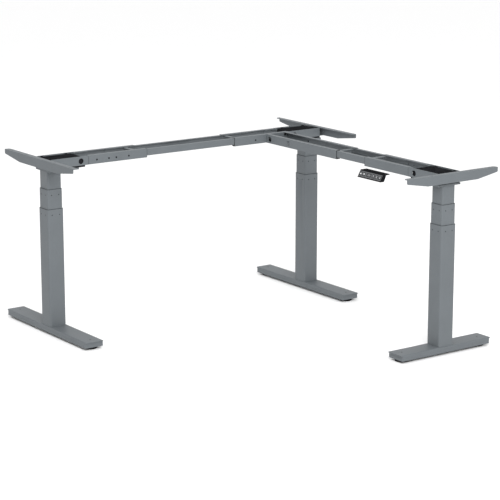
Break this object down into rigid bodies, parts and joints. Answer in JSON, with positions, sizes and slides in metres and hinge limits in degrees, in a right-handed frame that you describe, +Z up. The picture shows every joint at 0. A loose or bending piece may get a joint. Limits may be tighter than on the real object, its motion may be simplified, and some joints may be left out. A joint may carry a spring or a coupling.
{
  "type": "height adjustable desk frame",
  "caption": "L-shaped electric height adjustable desk frame: telescopic columns, levelling feet, extending rails and a handset.",
  "frame": {"origin": "on the floor, at the middle of the frame's outline in plan", "axes": "+Z up, +X along the long beam towards the corner leg, +Y away from the return leg"},
  "size_m": [1.524, 1.65, 0.788],
  "materials": {
    "black_housing": "fine texture",
    "frame_paint": "satin powder coat",
    "glide_plastic": "matte",
    "guide_plastic": "natural",
    "handset_black": "matte",
    "key_rubber": "matte",
    "post_steel": "plain",
    "screw_black": "black oxide",
    "spindle_steel": "oiled"
  },
  "bodies": {
    "base_left": {"foot_left": "frame_paint", "outer_tube_left": "frame_paint", "outer_guide_left": "guide_plastic", "nut_post_left": "post_steel"},
    "mid_left": {"mid_tube_left": "frame_paint", "mid_guide_left": "guide_plastic", "mid_nut_post_left": "post_steel"},
    "top_left": {"inner_tube_left": "frame_paint", "drive_left": "black_housing", "head_left": "frame_paint", "bracket_left": "frame_paint", "rail_left": "frame_paint", "screws_left": "screw_black"},
    "lower_screw_left": {"spindle_lower_left": "spindle_steel"},
    "upper_screw_left": {"spindle_upper_left": "spindle_steel"},
    "glide_a_left_body": {"glide_a_left": "glide_plastic"},
    "glide_b_left_body": {"glide_b_left": "glide_plastic"},
    "base_corner": {"foot_corner": "frame_paint", "outer_tube_corner": "frame_paint", "outer_guide_corner": "guide_plastic", "nut_post_corner": "post_steel"},
    "mid_corner": {"mid_tube_corner": "frame_paint", "mid_guide_corner": "guide_plastic", "mid_nut_post_corner": "post_steel"},
    "top_corner": {"inner_tube_corner": "frame_paint", "drive_corner": "black_housing", "head_corner": "frame_paint", "bracket_corner": "frame_paint", "rail_corner": "frame_paint", "return_joint": "frame_paint", "screws_corner": "screw_black"},
    "lower_screw_corner": {"spindle_lower_corner": "spindle_steel"},
    "upper_screw_corner": {"spindle_upper_corner": "spindle_steel"},
    "glide_a_corner_body": {"glide_a_corner": "glide_plastic"},
    "glide_b_corner_body": {"glide_b_corner": "glide_plastic"},
    "base_return": {"foot_return": "frame_paint", "outer_tube_return": "frame_paint", "outer_guide_return": "guide_plastic", "nut_post_return": "post_steel"},
    "mid_return": {"mid_tube_return": "frame_paint", "mid_guide_return": "guide_plastic", "mid_nut_post_return": "post_steel"},
    "top_return": {"inner_tube_return": "frame_paint", "drive_return": "black_housing", "head_return": "frame_paint", "bracket_return": "frame_paint", "rail_return": "frame_paint", "screws_return": "screw_black", "handset": "handset_black"},
    "lower_screw_return": {"spindle_lower_return": "spindle_steel"},
    "upper_screw_return": {"spindle_upper_return": "spindle_steel"},
    "glide_a_return_body": {"glide_a_return": "glide_plastic"},
    "glide_b_return_body": {"glide_b_return": "glide_plastic"},
    "center_long": {"rail_center": "frame_paint"},
    "center_return": {"return_center": "frame_paint"},
    "key_up_body": {"key_up": "key_rubber"},
    "key_down_body": {"key_down": "key_rubber"},
    "key_one_body": {"key_one": "key_rubber"},
    "key_two_body": {"key_two": "key_rubber"},
    "key_three_body": {"key_three": "key_rubber"}
  },
  "joints": [
    {"name": "lift_corner_lower", "type": "slide", "parent": "base_corner", "child": "mid_corner", "axis": [0, 0, 1], "range_m": [-0.065, 0.26]},
    {"name": "lift_corner_upper", "type": "slide", "parent": "mid_corner", "child": "top_corner", "axis": [0, 0, 1], "range_m": [-0.065, 0.26]},
    {"name": "width_long_inner", "type": "slide", "parent": "top_corner", "child": "center_long", "axis": [1, 0, 0], "range_m": [-0.09, 0.09]},
    {"name": "width_long_outer", "type": "slide", "parent": "center_long", "child": "top_left", "axis": [1, 0, 0], "range_m": [-0.09, 0.09]},
    {"name": "depth_return_inner", "type": "slide", "parent": "top_corner", "child": "center_return", "axis": [0, 1, 0], "range_m": [-0.09, 0.09]},
    {"name": "depth_return_outer", "type": "slide", "parent": "center_return", "child": "top_return", "axis": [0, 1, 0], "range_m": [-0.09, 0.08]},
    {"name": "lift_left_upper", "type": "slide", "parent": "top_left", "child": "mid_left", "axis": [0, 0, -1], "range_m": [-0.065, 0.26]},
    {"name": "lift_left_lower", "type": "slide", "parent": "mid_left", "child": "base_left", "axis": [0, 0, -1], "range_m": [-0.065, 0.26]},
    {"name": "lift_return_upper", "type": "slide", "parent": "top_return", "child": "mid_return", "axis": [0, 0, -1], "range_m": [-0.065, 0.26]},
    {"name": "lift_return_lower", "type": "slide", "parent": "mid_return", "child": "base_return", "axis": [0, 0, -1], "range_m": [-0.065, 0.26]},
    {"name": "spin_lower_left", "type": "hinge", "parent": "mid_left", "child": "lower_screw_left", "pos_m": [-0.702, 0.475, 0.36], "axis": [0, 0, 1], "range_deg": [-2341, 9361]},
    {"name": "spin_upper_left", "type": "hinge", "parent": "top_left", "child": "upper_screw_left", "pos_m": [-0.702, 0.475, 0.5], "axis": [0, 0, 1], "range_deg": [-2341, 9361]},
    {"name": "level_a_left", "type": "slide", "parent": "base_left", "child": "glide_a_left_body", "axis": [0, 0, -1], "range_m": [0, 0.01]},
    {"name": "level_b_left", "type": "slide", "parent": "base_left", "child": "glide_b_left_body", "axis": [0, 0, -1], "range_m": [0, 0.01]},
    {"name": "spin_lower_corner", "type": "hinge", "parent": "mid_corner", "child": "lower_screw_corner", "pos_m": [0.702, 0.475, 0.36], "axis": [0, 0, 1], "range_deg": [-2341, 9361]},
    {"name": "spin_upper_corner", "type": "hinge", "parent": "top_corner", "child": "upper_screw_corner", "pos_m": [0.702, 0.475, 0.5], "axis": [0, 0, 1], "range_deg": [-2341, 9361]},
    {"name": "level_a_corner", "type": "slide", "parent": "base_corner", "child": "glide_a_corner_body", "axis": [0, 0, -1], "range_m": [0, 0.01]},
    {"name": "level_b_corner", "type": "slide", "parent": "base_corner", "child": "glide_b_corner_body", "axis": [0, 0, -1], "range_m": [0, 0.01]},
    {"name": "spin_lower_return", "type": "hinge", "parent": "mid_return", "child": "lower_screw_return", "pos_m": [0.478, -0.765, 0.36], "axis": [0, 0, 1], "range_deg": [-2341, 9361]},
    {"name": "spin_upper_return", "type": "hinge", "parent": "top_return", "child": "upper_screw_return", "pos_m": [0.478, -0.765, 0.5], "axis": [0, 0, 1], "range_deg": [-2341, 9361]},
    {"name": "level_a_return", "type": "slide", "parent": "base_return", "child": "glide_a_return_body", "axis": [0, 0, -1], "range_m": [0, 0.01]},
    {"name": "level_b_return", "type": "slide", "parent": "base_return", "child": "glide_b_return_body", "axis": [0, 0, -1], "range_m": [0, 0.01]},
    {"name": "press_up", "type": "slide", "parent": "top_return", "child": "key_up_body", "axis": [0.8648, 0, -0.5021], "range_m": [0, 0.001], "stiffness_N_per_m": 600},
    {"name": "press_down", "type": "slide", "parent": "top_return", "child": "key_down_body", "axis": [0.8648, 0, -0.5021], "range_m": [0, 0.001], "stiffness_N_per_m": 600},
    {"name": "press_one", "type": "slide", "parent": "top_return", "child": "key_one_body", "axis": [0.8648, 0, -0.5021], "range_m": [0, 0.001], "stiffness_N_per_m": 600},
    {"name": "press_two", "type": "slide", "parent": "top_return", "child": "key_two_body", "axis": [0.8648, 0, -0.5021], "range_m": [0, 0.001], "stiffness_N_per_m": 600},
    {"name": "press_three", "type": "slide", "parent": "top_return", "child": "key_three_body", "axis": [0.8648, 0, -0.5021], "range_m": [0, 0.001], "stiffness_N_per_m": 600}
  ],
  "couplings": [
    {"joint": "lift_corner_upper", "follows": "lift_corner_lower", "ratio": 1},
    {"joint": "lift_left_upper", "follows": "lift_corner_lower", "ratio": 1},
    {"joint": "lift_left_lower", "follows": "lift_corner_lower", "ratio": 1},
    {"joint": "lift_return_upper", "follows": "lift_corner_lower", "ratio": 1},
    {"joint": "lift_return_lower", "follows": "lift_corner_lower", "ratio": 1},
    {"joint": "spin_lower_left", "follows": "lift_corner_lower", "rad_per_m": 628.32},
    {"joint": "spin_upper_left", "follows": "lift_corner_lower", "rad_per_m": 628.32},
    {"joint": "spin_lower_corner", "follows": "lift_corner_lower", "rad_per_m": 628.32},
    {"joint": "spin_upper_corner", "follows": "lift_corner_lower", "rad_per_m": 628.32},
    {"joint": "spin_lower_return", "follows": "lift_corner_lower", "rad_per_m": 628.32},
    {"joint": "spin_upper_return", "follows": "lift_corner_lower", "rad_per_m": 628.32}
  ]
}
